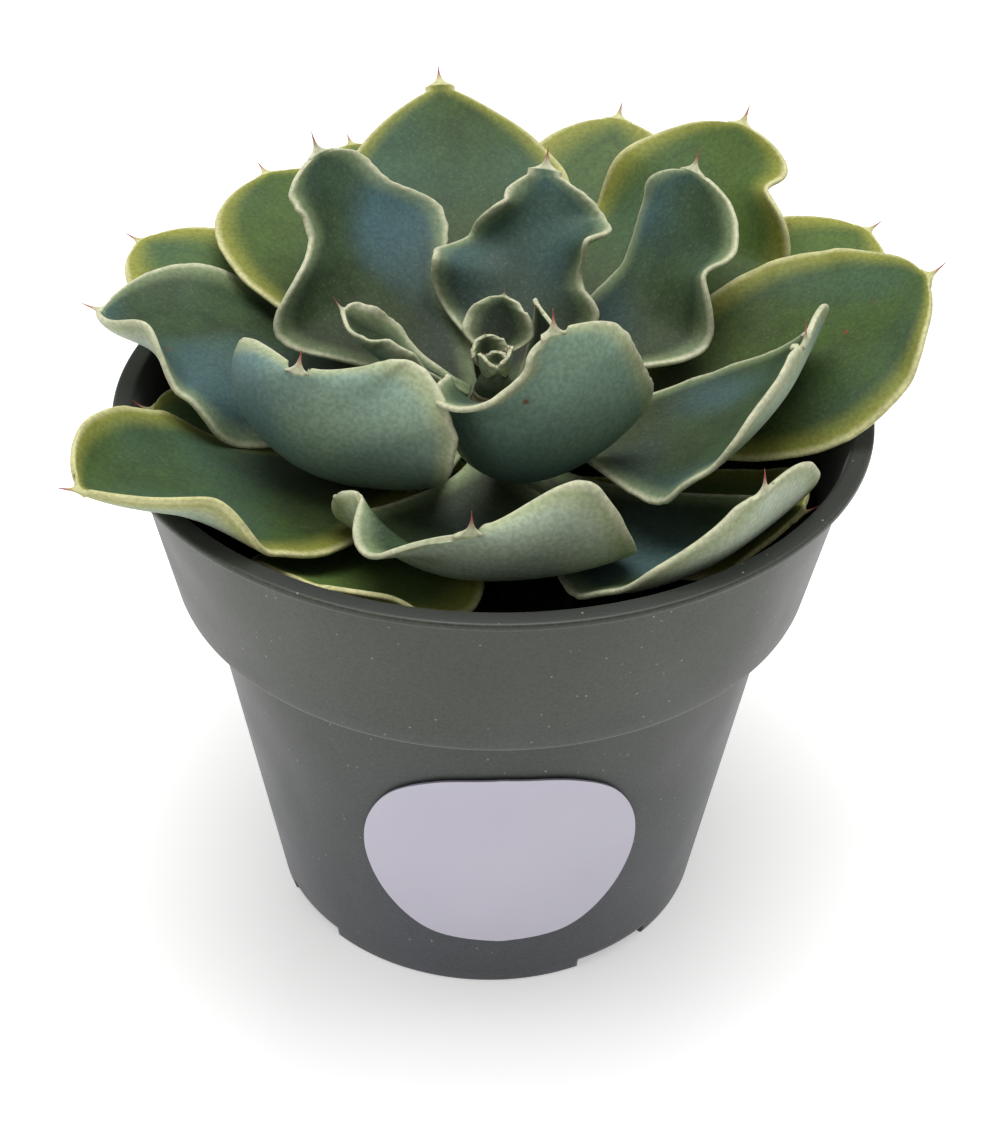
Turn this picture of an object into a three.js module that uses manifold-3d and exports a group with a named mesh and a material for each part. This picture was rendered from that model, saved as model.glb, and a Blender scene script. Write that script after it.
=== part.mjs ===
// A broad-leaved succulent rosette in a tapered nursery pot, with a bare sticker on the pot.
// Millimetres, +Z up. The origin is the centre of the pot's base, on the surface it stands on,
// and -Y is the side with the sticker. Every leaf is a solid of its own.
import * as THREE from "three";
import { mergeVertices } from "three/addons/utils/BufferGeometryUtils.js";
import Module from "manifold-3d";

const wasm = await Module();
wasm.setup();

const DEG = Math.PI / 180;
const GAP = 0.35; // air kept between pieces that rest on each other

// Pot: a foot, a tapered body, a wider collar above a small step, and a flat lip.
const POT_HEIGHT = 120;
const FOOT_RADIUS = 47.2;
const STEP_HEIGHT = 82; // where the collar begins
const BODY_TOP_RADIUS = 60.5;
const COLLAR_FOOT_RADIUS = 66;
const COLLAR_TOP_RADIUS = 73.3;
const LIP_RADIUS = 76;
const LIP_THICKNESS = 1.5;
const WALL = 1.4;
const FLOOR = 2;
const POT_SIDES = 60;

// Drain slots: four low arches cut through the foot.
const SLOT_HEIGHT = 3;
const SLOT_SPAN = 22; // degrees around the foot
const SLOT_FIRST = 36 - 90; // degrees, middle of the slot at the front right
const SLOT_INNER_RADIUS = 37;

// Soil, and the stem that stands in a plain hole in it.
const SOIL_TOP = 98.5;
const STEM_DEPTH = 24; // how far the stem goes into the soil
const STEM_LOW_RADIUS = 10; // at the soil's surface
const STEM_TOP_RADIUS = 4.2;
const STEM_TOP = 121;

// Growing point: a blunt cone on the stem's top, which carries the heart's tiny leaves.
const HEART_HEIGHT = 5;
const HEART_TOP_RADIUS = 2;
const HEART_LEAVES = 5;

// Sticker: a rounded triangle, half its width at each height above the base.
const STICKER_MIDDLE = 3; // mm to the right of the pot's front line
const STICKER_THICKNESS = 0.5;
const STICKER_OUTLINE = [
  [0.6, 16], [14.4, 18.3], [23.6, 27], [28.2, 39], [27.6, 51], [22.2, 61.5], [12.6, 67.3], [0.6, 68.8],
];

// Rosette: each leaf stands 137.5 degrees round from the one before and a little lower.
const GOLDEN_ANGLE = 137.5;
const SPIRAL_START = 295; // azimuth of rank 0, degrees from +X
const ROOT_TOP = 119; // height of the root of rank 0
const ROOT_DROP = 2.3; // drop from rank 0 to rank 1, and less and less from rank to rank
const ROOT_DROP_POWER = 0.66;
const ROOT_LEAN = 1.2; // the back of the stem's top is higher and its front lower by this

// Leaf section: fleshy along the middle, thin at the margin.
const LEAF_ROOT_THICKNESS = 2.3;
const LEAF_BODY_THICKNESS = 3;
const LEAF_TIP_THICKNESS = 1.3;
const MARGIN_THICKNESS = 1;
const ROOT_WIDTH_SHARE = 0.13; // width at the root over the greatest width
const TIP_HALF_WIDTH = 2.5; // where the outline flares into the sharp point, or less on a small leaf
const SPINE_LENGTH = 4.5;
const SPINE_SECTIONS = [[0.25, 1], [1, 0.2]]; // half widths of the sharp point along its length

// Where along a leaf the turn of its two margins is given, from root (0) to tip (1).
const MARGIN_STATIONS = [0, 0.3, 0.5, 0.68, 0.84, 0.95, 1];

// Leaves from the youngest to the oldest, as the photograph shows them. rank: place in the spiral;
// swing: degrees away from the spiral's own azimuth; length and width in mm; rise: degrees above
// level at the root, the middle and the tip; left and right: how far each margin turns up
// (or, below zero, down) at the five inner stations, in degrees; bend: sideways turn of the tip;
// twist: roll of the tip; widest: where the leaf is widest; point: 0.5 round tip, more is sharper;
// ahead: mm that the right and the left margin run ahead of the tip; notches: places where one half
// is narrower (or, with a depth below zero, wider), each with its side, where on the leaf, its reach
// and its depth.
const LEAVES = [
  {
    rank: -4, swing: -20, bend: -20, length: 14, width: 15, rise: [36, 58, 80],
    left: [10, 20, 15, 20, 0], right: [20, 25, 30, 30, 0], widest: 0.5,
  },
  {
    rank: -2, swing: 0, length: 18, width: 18, rise: [45, 66, 130], left: [0, -10, -10, -10, 0],
    right: [0, 30, 30, 20, 0], widest: 0.7,
  },
  {
    rank: -1, swing: 14, length: 30, width: 22, rise: [26, 28, 52], left: [60, 80, 80, 50, 30],
    right: [10, 20, 40, 60, 40],
    notches: [["right", 0.4, 0.3, 0.5], ["right", 0.85, 0.2, 0.4], ["left", 0.42, 0.18, -0.4]],
  },
  {
    rank: 0, swing: -7, length: 56, width: 51, rise: [-38, 62, 96], left: [25, 30, 28, 30, 40],
    right: [40, 80, 100, -30, -60], ahead: [0, 2.5],
    notches: [["right", 0.9, 0.11, 0.55], ["left", 0.82, 0.2, 0.2]],
  },
  {
    rank: 1, swing: 3, length: 48, width: 43, rise: [27, 44, 63], left: [10, 60, -25, 80, 20],
    right: [0, 35, 85, 0, 10], notches: [["left", 0.82, 0.16, 0.4], ["right", 0.53, 0.12, 0.4]],
    widest: 0.52, point: 0.8,
  },
  {
    rank: 2, swing: 10.5, bend: -8, twist: 50, length: 59, width: 61, rise: [-25, 34.5, 103],
    left: [10, 5, 15, 40, 30], right: [40, 60, 90, 93, 90], ahead: [3, 8],
    notches: [["right", 0.45, 0.2, 0.2], ["left", 0.86, 0.1, 0.12]],
  },
  {
    rank: 3, swing: -8, length: 68, width: 54, rise: [14, 21, 87], left: [0, 2, 0, 0, 5],
    right: [-5, -10, 10, 20, 20], ahead: [7, 5], notches: [["right", 0.94, 0.1, 0.5]],
  },
  {
    rank: 4, swing: 5, bend: 12, length: 62, width: 54, rise: [27, 38, 62],
    left: [-10, -15, 20, 20, 10], right: [20, 20, 20, 30, 20],
    notches: [
      ["left", 0.78, 0.15, 0.45], ["left", 0.5, 0.12, -0.1],
      ["right", 0.42, 0.22, 0.53], ["right", 0.85, 0.15, 0.42],
    ],
    widest: 0.56, point: 0.55,
  },
  {
    rank: 5, swing: 4, length: 60, width: 60, rise: [-3, 7, 88], left: [20, 15, 20, 55, 55],
    right: [20, 25, 50, 60, -20], ahead: [0, 12],
  },
  {
    rank: 6, swing: 5, bend: 4, length: 65, width: 44, rise: [20, 32, 65],
    left: [0, -25, -45, -45, -20], right: [15, 0, 55, 20, 10],
    notches: [["left", 0.62, 0.28, 0.6], ["right", 0.42, 0.16, -0.3]],
  },
  {
    rank: 7, swing: -8, length: 76, width: 50, rise: [10, 16, 11], left: [-34, -36, 16, 70, 55],
    right: [-5, -8, 5, 20, 20],
  },
  {
    rank: 8, swing: -5, bend: 10, length: 75, width: 50, rise: [-4, 12, 88], left: [7, 8, 0, 5, 10],
    right: [-5, 0, 15, 20, 20], ahead: [4, 4], notches: [["right", 0.93, 0.1, 0.45]],
  },
  {
    rank: 9, swing: 7, length: 83, width: 52, rise: [20, 29, 45], left: [15, 20, 10, -20, -20],
    right: [10, 20, 10, -10, -20], point: 0.8,
  },
  {
    rank: 10, swing: -17, length: 83, width: 52, rise: [-5, 18.5, 19], left: [-8, 0, 6, 50, 45],
    right: [5, -2, 18, 28, 35],
  },
  {
    rank: 11, swing: -1, length: 86, width: 55, rise: [11, 24, 39], left: [30, 30, 25, 14, 0],
    right: [-10, -20, -25, -20, 0],
  },
  {
    rank: 12, swing: -18, length: 81, width: 50, rise: [20, 20, 14], left: [15, 20, 15, 10, 0],
    right: [0, 5, 10, 10, 0],
  },
  {
    rank: 14, swing: -9, length: 88, width: 53, rise: [12, 28.5, 51], left: [10, 10, -20, 10, 0],
    right: [-14, -10, -6, 45, 10], notches: [["right", 0.86, 0.05, 0.22]],
  },
  {
    rank: 15, swing: -12, length: 61, width: 40, rise: [-3, 12, 34], left: [0, -5, -5, 0, 0],
    right: [-10, -15, -10, 0, 0],
  },
  {
    rank: 16, swing: -4, length: 59, width: 42, rise: [-4, 8, 36], left: [0, 0, 0, 10, 0],
    right: [-10, -10, 0, -10, 0],
  },
  {
    rank: 17, swing: -2, length: 91, width: 48, rise: [16, 18, 11], left: [5, 10, 10, 0, 0],
    right: [10, 10, 10, 0, 0],
  },
  {
    rank: 18, swing: -9, length: 59, width: 46, rise: [0, 10, 38], left: [10, 10, 0, 0, 20],
    right: [10, 10, -15, -15, 0],
  },
  {
    rank: 19, swing: 5, length: 90, width: 48, rise: [8.5, 22, 12.5], left: [-12, -18, -4, 0, 0],
    right: [10, 10, 0, 0, 0],
  },
  {
    rank: 20, swing: -17, length: 85, width: 41, rise: [14, 21, 4], left: [0, -10, -12, -8, 0],
    right: [-15, -25, -14, 0, 0],
  },
  {
    rank: 22, swing: -7, length: 92, width: 46, rise: [10, 24, 36], left: [-10, -12, -5, 0, 0],
    right: [0, 18, 16, 0, 0],
  },
];

const material = (color, roughness) =>
  new THREE.MeshStandardMaterial({ color, roughness, metalness: 0 });
const MATERIALS = {
  pot: material(0x5c6058, 0.55),
  sticker: material(0xd9d6e3, 0.5),
  soil: material(0x14110f, 1),
  stem: material(0x6b6a52, 0.8),
  youngLeaf: material(0x6d8a78, 0.6),
  oldLeaf: material(0x66794a, 0.6),
};

const polar = (radius, azimuth, z) =>
  new THREE.Vector3(radius * Math.cos(azimuth), radius * Math.sin(azimuth), z);
const mix = THREE.MathUtils.lerp;

// A value between two stations eases from one to the next, level at each station.
function atStations(values, t) {
  let i = 0;
  while (i < MARGIN_STATIONS.length - 2 && t > MARGIN_STATIONS[i + 1]) i++;
  const u = (t - MARGIN_STATIONS[i]) / (MARGIN_STATIONS[i + 1] - MARGIN_STATIONS[i]);
  return mix(values[i], values[i + 1], u * u * (3 - 2 * u));
}

// The curve through three values at the start, the middle and the end.
function throughThree([start, middle, end], t) {
  return start * (1 - t) * (1 - 2 * t) + 4 * middle * t * (1 - t) + end * t * (2 * t - 1);
}

// A closed sheet between two grids of points with the same rows and columns. Both faces are cut
// along the same diagonals, so the sheet is equally thick everywhere.
function slab(front, back) {
  const rows = front.length;
  const columns = front[0].length;
  const positions = [...front.flat(), ...back.flat()].flatMap((p) => [p.x, p.y, p.z]);
  const index = [];
  const at = (i, j) => i * columns + j;
  const under = rows * columns;
  for (let i = 0; i < rows - 1; i++) {
    for (let j = 0; j < columns - 1; j++) {
      const [a, b, c, d] = [at(i, j), at(i + 1, j), at(i + 1, j + 1), at(i, j + 1)];
      index.push(a, b, c, a, c, d);
      index.push(under + a, under + c, under + b, under + a, under + d, under + c);
    }
  }
  const edge = [];
  for (let j = 0; j < columns - 1; j++) edge.push(at(0, j));
  for (let i = 0; i < rows - 1; i++) edge.push(at(i, columns - 1));
  for (let j = columns - 1; j > 0; j--) edge.push(at(rows - 1, j));
  for (let i = rows - 1; i > 0; i--) edge.push(at(i, 0));
  edge.forEach((a, k) => {
    const b = edge[(k + 1) % edge.length];
    index.push(a, b, under + b, a, under + b, under + a);
  });
  const geometry = new THREE.BufferGeometry();
  geometry.setAttribute("position", new THREE.Float32BufferAttribute(positions, 3));
  geometry.setIndex(index);
  return geometry;
}

function toSolid(geometry) {
  const bare = new THREE.BufferGeometry();
  bare.setAttribute("position", geometry.getAttribute("position"));
  bare.setIndex(geometry.getIndex());
  const merged = mergeVertices(bare, 1e-4);
  const vertProperties = new Float32Array(merged.getAttribute("position").array);
  const triVerts = new Uint32Array(merged.getIndex().array);
  return new wasm.Manifold(new wasm.Mesh({ numProp: 3, vertProperties, triVerts }));
}

function toGeometry(solid) {
  const { vertProperties, triVerts } = solid.getMesh();
  const geometry = new THREE.BufferGeometry();
  geometry.setAttribute("position", new THREE.Float32BufferAttribute(vertProperties, 3));
  geometry.setIndex([...triVerts]);
  return geometry;
}

// Lathe around +Z from [radius, height] points that start and end on the axis.
function turned(profile, sides = POT_SIDES) {
  const geometry = new THREE.LatheGeometry(profile.map(([r, z]) => new THREE.Vector2(r, z)), sides);
  return geometry.rotateX(Math.PI / 2);
}

const bodyRadius = (z) => mix(FOOT_RADIUS, BODY_TOP_RADIUS, z / STEP_HEIGHT);
const innerRadius = (z) => bodyRadius(z) - WALL;

// One drain slot: a block with curved sides, as tall as the slot, that passes through the foot.
function slotCutter(middle) {
  const shape = new THREE.Shape();
  const half = (SLOT_SPAN / 2) * DEG;
  shape.absarc(0, 0, FOOT_RADIUS + 5, middle - half, middle + half, false);
  shape.absarc(0, 0, SLOT_INNER_RADIUS, middle + half, middle - half, true);
  const block = new THREE.ExtrudeGeometry(shape, {
    depth: SLOT_HEIGHT + 1, bevelEnabled: false, curveSegments: 6,
  });
  return toSolid(block.translate(0, 0, -1));
}

function potGeometry() {
  const outside = [
    [0, 0], [FOOT_RADIUS - 0.6, 0], [FOOT_RADIUS, 0.8], [BODY_TOP_RADIUS, STEP_HEIGHT],
    [COLLAR_FOOT_RADIUS - 0.8, STEP_HEIGHT], [COLLAR_FOOT_RADIUS, STEP_HEIGHT + 1.2],
    [COLLAR_TOP_RADIUS, POT_HEIGHT - LIP_THICKNESS], [LIP_RADIUS - 0.3, POT_HEIGHT - LIP_THICKNESS],
    [LIP_RADIUS, POT_HEIGHT - LIP_THICKNESS / 2], [LIP_RADIUS - 0.4, POT_HEIGHT],
  ];
  const inside = [
    [COLLAR_TOP_RADIUS - 0.6, POT_HEIGHT], [COLLAR_TOP_RADIUS - WALL, POT_HEIGHT - 1],
    [COLLAR_FOOT_RADIUS - WALL, STEP_HEIGHT + WALL + 1], [innerRadius(STEP_HEIGHT), STEP_HEIGHT + WALL],
    [innerRadius(FLOOR), FLOOR], [0, FLOOR],
  ];
  let pot = toSolid(turned([...outside, ...inside]));
  for (let quarter = 0; quarter < 4; quarter++) {
    pot = pot.subtract(slotCutter((SLOT_FIRST + 90 * quarter) * DEG));
  }
  return toGeometry(pot);
}

// The soil fills the pot up to its surface and has a plain hole for the stem.
function soilGeometry() {
  const upTheCollar = (SOIL_TOP - STEP_HEIGHT) / (POT_HEIGHT - STEP_HEIGHT);
  const collarInside = mix(COLLAR_FOOT_RADIUS, COLLAR_TOP_RADIUS, upTheCollar) - WALL;
  const hole = STEM_LOW_RADIUS + GAP;
  return turned([
    [0, FLOOR + 1.5 + GAP], [innerRadius(FLOOR) - 1, FLOOR + 1.5 + GAP],
    [innerRadius(STEP_HEIGHT) - 0.8, STEP_HEIGHT + WALL + 0.8],
    [COLLAR_FOOT_RADIUS - WALL - 1, STEP_HEIGHT + WALL + 1.8],
    [collarInside - 0.8, SOIL_TOP - 1.5], [collarInside - 2.5, SOIL_TOP - 0.4],
    [hole + 6, SOIL_TOP], [hole, SOIL_TOP - 0.3],
    [hole, SOIL_TOP - STEM_DEPTH - GAP], [0, SOIL_TOP - STEM_DEPTH - GAP],
  ], 36);
}

// Radius of the stem, and of the growing point above it, at a height.
function coreRadius(z) {
  if (z < SOIL_TOP) return STEM_LOW_RADIUS;
  if (z < STEM_TOP) return mix(STEM_LOW_RADIUS, STEM_TOP_RADIUS, (z - SOIL_TOP) / (STEM_TOP - SOIL_TOP));
  return mix(STEM_TOP_RADIUS, HEART_TOP_RADIUS, Math.min(1, (z - STEM_TOP) / HEART_HEIGHT));
}

// A short stout stem: straight in the soil, and a cone above it that carries the leaves.
function stemGeometry() {
  return turned([
    [0, SOIL_TOP - STEM_DEPTH], [STEM_LOW_RADIUS, SOIL_TOP - STEM_DEPTH], [STEM_LOW_RADIUS, SOIL_TOP],
    [STEM_TOP_RADIUS, STEM_TOP], [0, STEM_TOP],
  ], 20);
}

// The sticker bends round the pot's body.
function stickerGeometry() {
  const columns = 14;
  const outline = new THREE.SplineCurve(STICKER_OUTLINE.map(([w, z]) => new THREE.Vector2(w, z)));
  const layer = (offset) => outline.getPoints(12).map(({ x: halfWidth, y: z }) => {
    const radius = bodyRadius(z) + offset;
    return Array.from({ length: columns + 1 }, (_, j) => {
      const across = STICKER_MIDDLE + halfWidth * (2 * j / columns - 1);
      return polar(radius, -Math.PI / 2 + across / bodyRadius(z), z);
    });
  });
  return slab(layer(GAP), layer(GAP + STICKER_THICKNESS));
}

// Width of one half of a leaf at t: it swells from the root, closes round the tip, and each notch
// on its side takes a share away, or adds one.
function halfWidth(leaf, t, side) {
  const widest = leaf.widest ?? 0.66;
  const swell = Math.sin((Math.PI / 2) * Math.min(t / widest, 1)) ** 2;
  const close = Math.max(0, (t - widest) / (1 - widest));
  let share = ROOT_WIDTH_SHARE + (1 - ROOT_WIDTH_SHARE) * swell;
  share *= Math.max(1 - close ** 2.2, 0) ** (leaf.point ?? 0.5);
  for (const [notched, where, reach, depth] of leaf.notches ?? []) {
    if (notched === side) share *= 1 - depth * Math.exp(-(((t - where) / reach) ** 2));
  }
  return Math.max((leaf.width / 2) * share, Math.min(TIP_HALF_WIDTH, leaf.width / 12));
}

// How far a margin runs ahead of the midrib at t, as a share: most of it just before the tip.
function shoulder(t) {
  const u = Math.max(0, (t - 0.6) / 0.4);
  return 6.75 * u * u * (1 - u);
}

// Where the rows of a leaf lie: even up to its widest place, then closer and closer to the tip.
function leafRows(count, widest) {
  const even = Array.from({ length: count }, (_, i) => widest * i / count);
  const closing = Array.from({ length: count + 1 }, (_, i) => Math.sin((Math.PI / 2) * i / count));
  return [...even, ...closing.map((share) => mix(widest, 1, share))];
}

// The roots wind down the stem, and the stem's top leans to the front.
function rootHeight(rank, azimuth) {
  const drop = ROOT_DROP * (rank < 0 ? rank / 2 : rank ** ROOT_DROP_POWER);
  return ROOT_TOP - drop + ROOT_LEAN * Math.sin(azimuth);
}

// A leaf starts where both edges of its root face just clear the stem.
function rootRadius(z, pitch) {
  const lowerZ = z - LEAF_ROOT_THICKNESS * Math.cos(pitch);
  const lowerEdge = coreRadius(lowerZ) - LEAF_ROOT_THICKNESS * Math.sin(pitch);
  return Math.max(coreRadius(z), lowerEdge) + GAP;
}

// The middle line of a leaf with its directions: along it, to its left, and out of its upper face.
function midrib(leaf, rows) {
  const azimuth = (SPIRAL_START + GOLDEN_ANGLE * leaf.rank + leaf.swing) * DEG;
  const rootZ = rootHeight(leaf.rank, azimuth);
  const point = polar(rootRadius(rootZ, leaf.rise[0] * DEG), azimuth, rootZ);
  const steps = 120;
  const frames = [];
  for (let k = 0, row = 0; k <= steps; k++) {
    const t = k / steps;
    const pitch = throughThree(leaf.rise, t) * DEG;
    const heading = azimuth + (leaf.bend ?? 0) * DEG * t ** 1.6;
    const roll = (leaf.twist ?? 0) * DEG * t;
    const along = polar(Math.cos(pitch), heading, Math.sin(pitch));
    const level = polar(1, heading + Math.PI / 2, 0);
    const normal = along.clone().cross(level);
    const left = level.clone().multiplyScalar(Math.cos(roll)).addScaledVector(normal, Math.sin(roll));
    const up = along.clone().cross(left);
    while (row < rows.length && rows[row] <= t + 1e-9) {
      const behind = (rows[row] - t) * leaf.length;
      frames.push({ point: point.clone().addScaledVector(along, behind), along, left, up });
      row++;
    }
    point.addScaledVector(along, leaf.length / steps);
  }
  return frames;
}

// Across the leaf each half is an arc that leaves the midrib level and reaches its margin's turn.
function acrossArc(frame, half, turn, share) {
  const side = Math.sign(share);
  const bend = Math.abs(turn) < 1e-3 ? 1e-3 : turn;
  const angle = bend * Math.abs(share);
  const out = half * Math.sin(angle) / bend;
  const rise = half * (1 - Math.cos(angle)) / bend;
  return frame.point.clone().addScaledVector(frame.left, side * out).addScaledVector(frame.up, rise);
}

// The upper face's direction at each grid point, from its neighbours.
function gridNormal(grid, i, j) {
  const rows = grid.length - 1;
  const columns = grid[0].length - 1;
  const lengthwise = grid[Math.min(i + 1, rows)][j].clone().sub(grid[Math.max(i - 1, 0)][j]);
  const crosswise = grid[i][Math.min(j + 1, columns)].clone().sub(grid[i][Math.max(j - 1, 0)]);
  return lengthwise.cross(crosswise).normalize();
}

function leafGeometry(leaf, rowCount, columns) {
  const widest = leaf.widest ?? 0.66;
  const rows = leafRows(rowCount, widest);
  const frames = midrib(leaf, rows);
  const leftTurn = [0, ...leaf.left, leaf.left[4]];
  const rightTurn = [0, ...leaf.right, leaf.right[4]];
  const [aheadRight, aheadLeft] = leaf.ahead ?? [0, 0];
  const upper = rows.map((t, i) => Array.from({ length: columns + 1 }, (_, j) => {
    const share = 2 * j / columns - 1;
    const onLeft = share > 0;
    const turn = atStations(onLeft ? leftTurn : rightTurn, t) * DEG;
    const point = acrossArc(frames[i], halfWidth(leaf, t, onLeft ? "left" : "right"), turn, share);
    const ahead = (onLeft ? aheadLeft : aheadRight) * shoulder(t) * Math.abs(share) ** 1.5;
    return point.addScaledVector(frames[i].along, ahead);
  }));
  const plump = Math.min(1, leaf.length / 40);
  const lower = upper.map((row, i) => row.map((p, j) => {
    const t = rows[i];
    const body = throughThree([LEAF_ROOT_THICKNESS, LEAF_BODY_THICKNESS, LEAF_TIP_THICKNESS], t);
    const share = 2 * j / columns - 1;
    const thickness = Math.max(0.8, plump * mix(MARGIN_THICKNESS, body, 1 - share * share));
    return p.clone().addScaledVector(gridNormal(upper, i, j), -thickness);
  }));
  addSpine(upper, lower, frames.at(-1), plump);
  return slab(upper, lower);
}

// The sharp point grows out of the leaf's last row and curves up a little.
function addSpine(upper, lower, frame, plump) {
  const columns = upper[0].length - 1;
  const base = upper.at(-1)[columns / 2].clone().add(lower.at(-1)[columns / 2]).multiplyScalar(0.5);
  for (const [reach, half] of SPINE_SECTIONS) {
    const middle = base.clone().addScaledVector(frame.along, reach * SPINE_LENGTH * plump);
    middle.addScaledVector(frame.up, 0.5 * reach * reach * plump);
    const row = (height) => upper[0].map((_, j) => {
      const across = half * (2 * j / columns - 1);
      return middle.clone().addScaledVector(frame.left, across).addScaledVector(frame.up, height);
    });
    const halfThick = Math.min(half, 0.5);
    upper.push(row(halfThick));
    lower.push(row(-halfThick));
  }
}

// The heart: tiny upright leaves around the growing point, grown together with it.
function heartGeometry() {
  const base = STEM_TOP + GAP;
  const top = STEM_TOP + HEART_HEIGHT;
  const cone = [[0, base], [coreRadius(base), base], [HEART_TOP_RADIUS, top], [0, top + 0.6]];
  let heart = toSolid(turned(cone, 12));
  for (let k = 0; k < HEART_LEAVES; k++) {
    const leaf = {
      rank: 0, swing: GOLDEN_ANGLE * k, length: 3.5 + 1.1 * k, width: 5 + k,
      rise: [45, 80, 95], left: [40, 50, 55, 40, 0], right: [40, 50, 55, 40, 0],
    };
    const azimuth = (SPIRAL_START + leaf.swing) * DEG;
    const rootZ = rootHeight(0, azimuth);
    const outward = 0.6 + 0.2 * k - rootRadius(rootZ, leaf.rise[0] * DEG);
    const shift = polar(outward, azimuth, STEM_TOP + 3 - rootZ);
    heart = heart.add(toSolid(leafGeometry(leaf, 2, 4).translate(shift.x, shift.y, shift.z)));
  }
  return toGeometry(heart);
}

function mesh(name, geometry, look) {
  geometry.computeVertexNormals();
  const piece = new THREE.Mesh(geometry, look);
  piece.name = name;
  return piece;
}

// Young leaves are blue-green, old ones yellower.
function leafLook(index) {
  const look = MATERIALS.youngLeaf.clone();
  look.color.lerp(MATERIALS.oldLeaf.color, index / (LEAVES.length - 1));
  return look;
}

const succulent = new THREE.Group();
succulent.name = "potted_succulent";
succulent.add(mesh("pot", potGeometry(), MATERIALS.pot));
succulent.add(mesh("sticker", stickerGeometry(), MATERIALS.sticker));
succulent.add(mesh("potting_soil", soilGeometry(), MATERIALS.soil));
succulent.add(mesh("stem", stemGeometry(), MATERIALS.stem));
succulent.add(mesh("heart", heartGeometry(), MATERIALS.youngLeaf));
LEAVES.forEach((leaf, i) => {
  const name = `leaf_${String(i + 1).padStart(2, "0")}`;
  const plain = leaf.length < 35 || leaf.rank > 10; // small or gently waved: fewer faces
  succulent.add(mesh(name, leafGeometry(leaf, plain ? 5 : 6, plain ? 6 : 8), leafLook(i)));
});

export default succulent;
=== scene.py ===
# %% [markdown]
# # A potted succulent
# The object is a broad-leaved rosette succulent in a moulded nursery pot with a bare sticker. Its
# solids were packed beforehand, and this script dresses them: it loads them as a fixed frame, puts a
# finer piece in the place of each, and gives every piece its finish. Lengths in the code are in
# millimetres, and the factor MM turns them to Blender's metres.

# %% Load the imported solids
import math

import bmesh
import bpy
import numpy as np
from mathutils import Matrix, Vector, noise


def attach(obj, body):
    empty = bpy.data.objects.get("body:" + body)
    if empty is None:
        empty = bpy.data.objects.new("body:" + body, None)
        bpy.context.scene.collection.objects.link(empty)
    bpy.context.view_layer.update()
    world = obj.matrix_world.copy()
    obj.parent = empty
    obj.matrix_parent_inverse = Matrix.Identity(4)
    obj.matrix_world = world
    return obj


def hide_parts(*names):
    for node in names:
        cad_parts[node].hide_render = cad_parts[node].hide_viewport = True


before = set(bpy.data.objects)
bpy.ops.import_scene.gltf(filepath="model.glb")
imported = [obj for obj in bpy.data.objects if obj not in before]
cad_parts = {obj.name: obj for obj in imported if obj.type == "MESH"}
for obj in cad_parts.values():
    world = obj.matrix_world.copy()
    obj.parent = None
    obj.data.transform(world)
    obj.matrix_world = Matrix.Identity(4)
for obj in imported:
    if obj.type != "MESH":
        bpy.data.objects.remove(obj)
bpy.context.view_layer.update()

print("solids:", len(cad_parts))

# %% [markdown]
# ## Camera
# The photograph looks down on the plant from 38.5 degrees above the table, 473 mm from a point
# 55 mm up the pot's axis. Those numbers come from a fit to the ellipses that the pot's lip, step and
# foot make in the picture, with the pot taken to be 120 mm tall. That height is general knowledge of
# such pots. The picture itself favours one about 140 mm tall, seen from nearer and from higher up: the
# fit's error is 0.94 pixels rms there and 1.28 pixels at 120 mm. The picture is a little turned, and
# the camera points slightly beside and above that point, so three small angles follow. A shift of the
# lens could do the last two as well, but a real hand-held camera turns, and a turn stays right in
# other views.

# %% Place the camera
MM = 0.001
PHOTO_HEIGHT = 1124          # pixels, the picture's long side
FOCAL_LENGTH_PIXELS = 2160
SENSOR = 36.0                # mm along the long side
ELEVATION = math.radians(38.5)
ROLL = math.radians(0.9)
PAN = math.atan(8.7 / FOCAL_LENGTH_PIXELS)
TILT = math.atan(84.4 / FOCAL_LENGTH_PIXELS)
CAMERA_DISTANCE = 473
AIM = Vector((0, 0, 55))

back = Vector((0, -math.cos(ELEVATION), math.sin(ELEVATION)))
right = Vector((1, 0, 0))
up = back.cross(right)
axes = Matrix((right, up, back)).transposed()
turn = Matrix.Rotation(-PAN, 3, "Y") @ Matrix.Rotation(TILT, 3, "X") @ Matrix.Rotation(ROLL, 3, "Z")

lens = bpy.data.cameras.new("photo_camera")
lens.sensor_width = SENSOR
lens.lens = SENSOR * FOCAL_LENGTH_PIXELS / PHOTO_HEIGHT
camera = bpy.data.objects.new("photo_camera", lens)
bpy.context.scene.collection.objects.link(camera)
camera.matrix_world = Matrix.Translation((AIM + CAMERA_DISTANCE * back) * MM) @ (axes @ turn).to_4x4()
bpy.context.scene.camera = camera
print("lens in mm:", round(lens.lens, 2))

# %% [markdown]
# ## Table and light
# The plant stands on white, lit from all sides as in a light tent, with more light from above. A
# large plane is the table. A white world gives the light of the tent's walls, one big area light
# hangs over the plant, and a weaker one fills the front from the left. Large lights keep the shadow
# under the pot soft, which a sun lamp would not.

# %% One function for nodes, one for colours
def node(tree, kind, inputs=(), **settings):
    """Adds a node: settings are its own properties, inputs are values or sockets by name or number."""
    made = tree.nodes.new(kind)
    for key, value in settings.items():
        setattr(made, key, value)
    for key, value in dict(inputs).items():
        if isinstance(value, bpy.types.NodeSocket):
            tree.links.new(value, made.inputs[key])
        else:
            made.inputs[key].default_value = value
    return made


def linear(code):
    """An sRGB hex colour as linear RGBA."""
    parts = [int(code[i:i + 2], 16) / 255 for i in (1, 3, 5)]
    return [v / 12.92 if v <= 0.04045 else ((v + 0.055) / 1.055) ** 2.4 for v in parts] + [1]


def new_material(name):
    """An empty node material, with its tree and its output node."""
    material = bpy.data.materials.new(name)
    material.use_nodes = True
    material.node_tree.nodes.clear()
    return material, material.node_tree, node(material.node_tree, "ShaderNodeOutputMaterial")


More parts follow.
